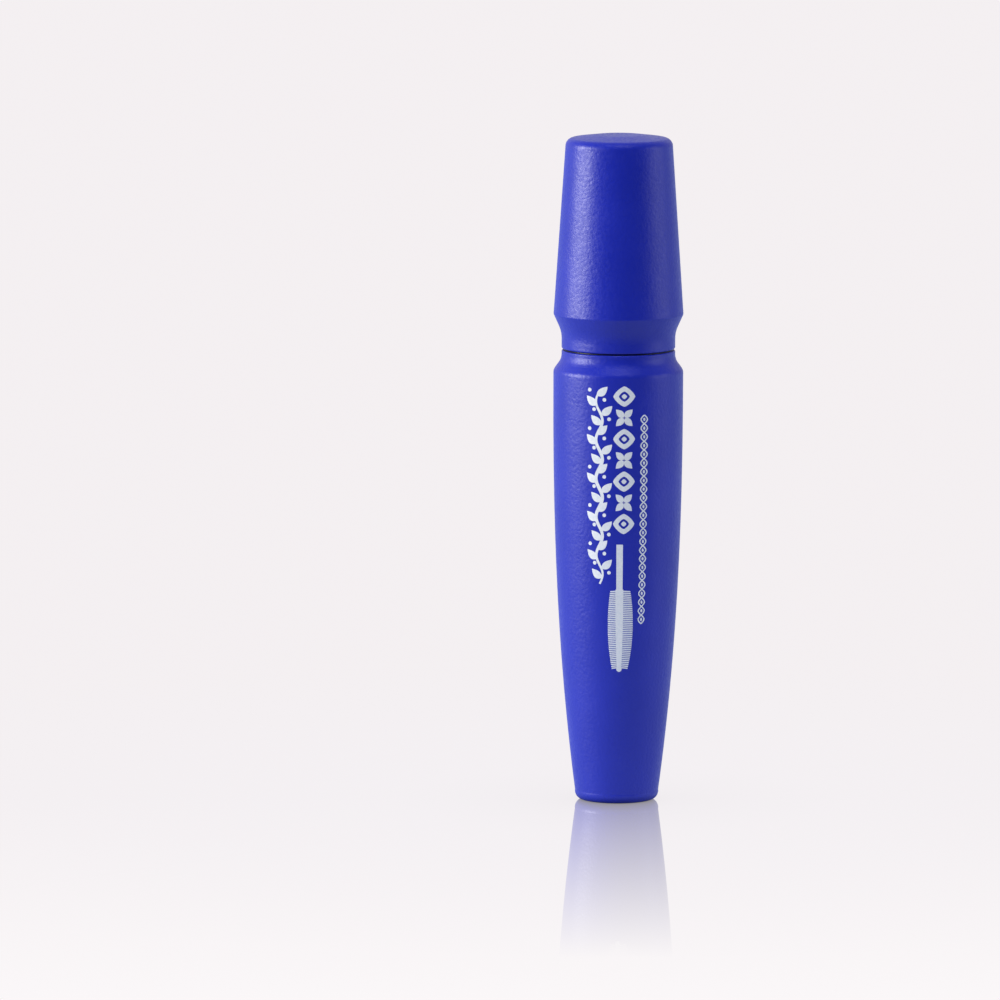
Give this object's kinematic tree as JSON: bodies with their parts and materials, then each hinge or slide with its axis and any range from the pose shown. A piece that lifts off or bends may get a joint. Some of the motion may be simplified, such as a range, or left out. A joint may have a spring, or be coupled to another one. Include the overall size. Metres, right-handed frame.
{
  "type": "mascara tube",
  "caption": "Round mascara tube with a waisted screw cap that carries a stem and a twisted-wire brush.",
  "frame": {"origin": "centre of the flat foot that the tube stands on", "axes": "+Z along the tube's axis from the foot to the cap; the tube is round, and the printed ornament faces -Y"},
  "size_m": [0.021, 0.021, 0.1085],
  "materials": {
    "soft_touch_blue": "satin soft-touch coating on a blue shell",
    "black_plastic": "plain black moulding",
    "wiper_plastic": "milky soft polyethylene",
    "washer_foam": "white foamed polyethylene",
    "mascara_paste": "wet blue paste",
    "steel_wire": "drawn wire",
    "bristle_nylon": "nylon fibres coated with paste",
    "sticker_paper": "blank coated paper"
  },
  "bodies": {
    "bottle": {"barrel_shell": "soft_touch_blue", "inner_vial": "black_plastic", "wiper": "wiper_plastic", "mascara_fill": "mascara_paste", "base_sticker": "sticker_paper"},
    "paste_ring": {"stem_paste": "mascara_paste"},
    "washer": {"sealing_washer": "washer_foam"},
    "cap": {"cap_shell": "soft_touch_blue", "inner_cap": "black_plastic", "stem": "black_plastic", "brush_wire": "steel_wire", "bristles": "bristle_nylon", "tip_paste": "mascara_paste"}
  },
  "joints": [
    {"name": "wand_pull", "type": "slide", "parent": "bottle", "child": "paste_ring", "axis": [0, 0, 1], "range_m": [0, 0.09], "deforming": ["wiper"]},
    {"name": "thread_rise", "type": "slide", "parent": "paste_ring", "child": "washer", "axis": [0, 0, 1], "range_m": [0, 0.0048]},
    {"name": "cap_turn", "type": "hinge", "parent": "washer", "child": "cap", "pos_m": [0, 0, 0.0735], "axis": [0, 0, 1], "range_deg": [0, 540]}
  ],
  "couplings": [
    {"joint": "thread_rise", "follows": "cap_turn", "m_per_rad": 0.00050929}
  ]
}
